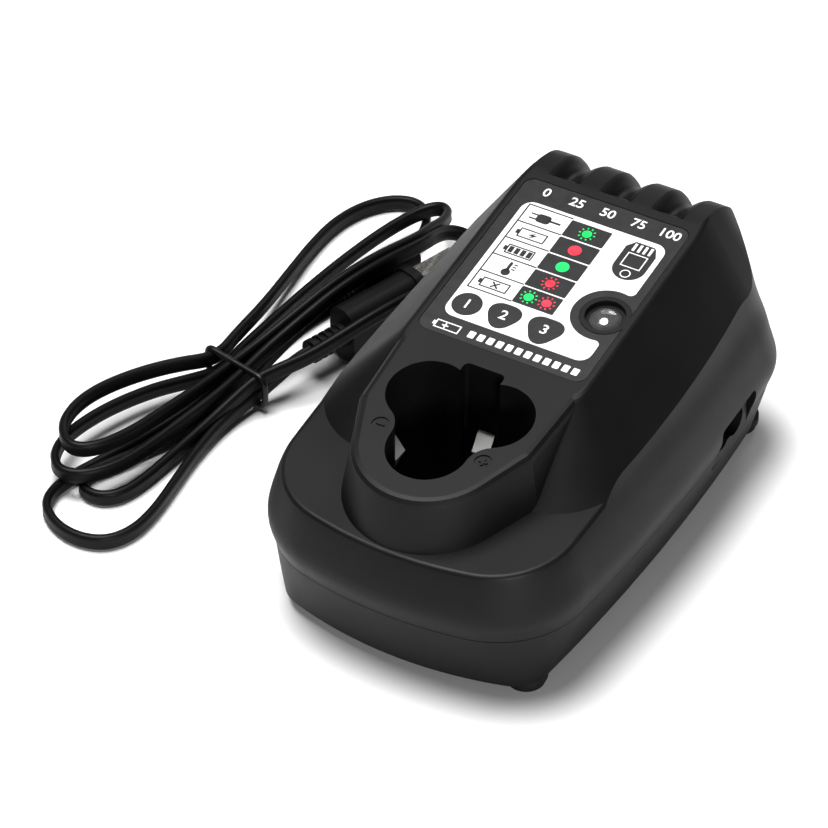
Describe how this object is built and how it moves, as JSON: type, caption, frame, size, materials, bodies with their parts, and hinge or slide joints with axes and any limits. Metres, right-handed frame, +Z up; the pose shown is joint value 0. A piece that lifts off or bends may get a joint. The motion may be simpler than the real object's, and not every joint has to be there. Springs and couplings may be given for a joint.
{
  "type": "power tool battery charger",
  "caption": "Desktop charger for a stick-shaped tool battery: sloped case with a three-lobed battery tower, label deck, status lamp, figure-8 mains inlet and a loose mains cord.",
  "frame": {"origin": "on the floor under the middle of the case, at the underside of the rubber feet", "axes": "+Z up, -Y towards the battery tower, +X towards the mains inlet side"},
  "size_m": [0.1728, 0.1865, 0.0757],
  "materials": {
    "case_plastic": "fine textured moulded plastic",
    "rubber_black": "soft matt rubber",
    "screw_steel": "zinc plated",
    "board_green": "glass-fibre board with solder mask",
    "ferrite": "pressed ferrite",
    "bobbin_plastic": "moulded phenolic",
    "copper_tape": "polyester tape over enamelled copper",
    "capacitor_sleeve": "shrink sleeve",
    "capacitor_box": "potted box",
    "choke_green": "coated ferrite ring",
    "enamelled_copper": "enamelled copper wire",
    "fuse_brown": "moulded",
    "chip_black": "moulded epoxy",
    "sink_aluminium": "plain sheet",
    "inlet_plastic": "moulded",
    "pin_metal": "nickel plated brass",
    "wire_blue": "insulated wire",
    "wire_red": "insulated wire",
    "block_plastic": "moulded",
    "leaf_metal": "nickel plated spring strip",
    "label_print": "printed film",
    "lens_clear": "clear moulded lens",
    "diode_white": "diode package",
    "cord_black": "flexible sheath",
    "plug_black": "overmoulded",
    "tie_plastic": "plastic covered wire"
  },
  "bodies": {
    "charger": {"upper_case": "case_plastic", "lower_case": "case_plastic", "rubber_feet": "rubber_black", "case_screws": "screw_steel", "main_board": "board_green", "board_screws": "screw_steel", "transformer_core": "ferrite", "transformer_bobbin": "bobbin_plastic", "transformer_winding": "copper_tape", "mains_capacitor": "capacitor_sleeve", "output_capacitors": "capacitor_sleeve", "filter_capacitor": "capacitor_box", "choke_core": "choke_green", "choke_winding": "enamelled_copper", "fuse": "fuse_brown", "control_chips": "chip_black", "heatsink_primary": "sink_aluminium", "heatsink_secondary": "sink_aluminium", "power_transistor": "chip_black", "output_rectifier": "chip_black", "heatsink_screws": "screw_steel", "inlet_body": "inlet_plastic", "inlet_pins": "pin_metal", "inlet_leads": "wire_blue", "contact_block": "block_plastic", "contact_leads": "wire_red", "label_film": "label_print", "indicator_lens": "lens_clear", "indicator_board": "board_green", "indicator_leds": "diode_white", "indicator_screws": "screw_steel", "indicator_lead": "wire_red", "cord_hank": "cord_black", "cord_tie": "tie_plastic", "cord_tail_plug": "cord_black", "cord_tail_connector": "cord_black", "plug_body": "plug_black", "plug_blades": "pin_metal", "appliance_connector": "plug_black", "connector_sockets": "pin_metal"},
    "contact_positive_spring": {"contact_positive": "leaf_metal"},
    "contact_negative_spring": {"contact_negative": "leaf_metal"},
    "contact_sense_spring": {"contact_sense": "leaf_metal"}
  },
  "joints": [
    {"name": "contact_positive_flex", "type": "hinge", "parent": "charger", "child": "contact_positive_spring", "pos_m": [0.02385, -0.03395, 0.0121], "axis": [0, 1, 0], "range_deg": [0, 6], "stiffness_Nm_per_rad": 0.6},
    {"name": "contact_negative_flex", "type": "hinge", "parent": "charger", "child": "contact_negative_spring", "pos_m": [-0.02385, -0.03395, 0.0121], "axis": [0, -1, 0], "range_deg": [0, 6], "stiffness_Nm_per_rad": 0.6},
    {"name": "contact_sense_flex", "type": "hinge", "parent": "charger", "child": "contact_sense_spring", "pos_m": [0, -0.0172, 0.0121], "axis": [-1, 0, 0], "range_deg": [0, 6], "stiffness_Nm_per_rad": 0.6}
  ]
}
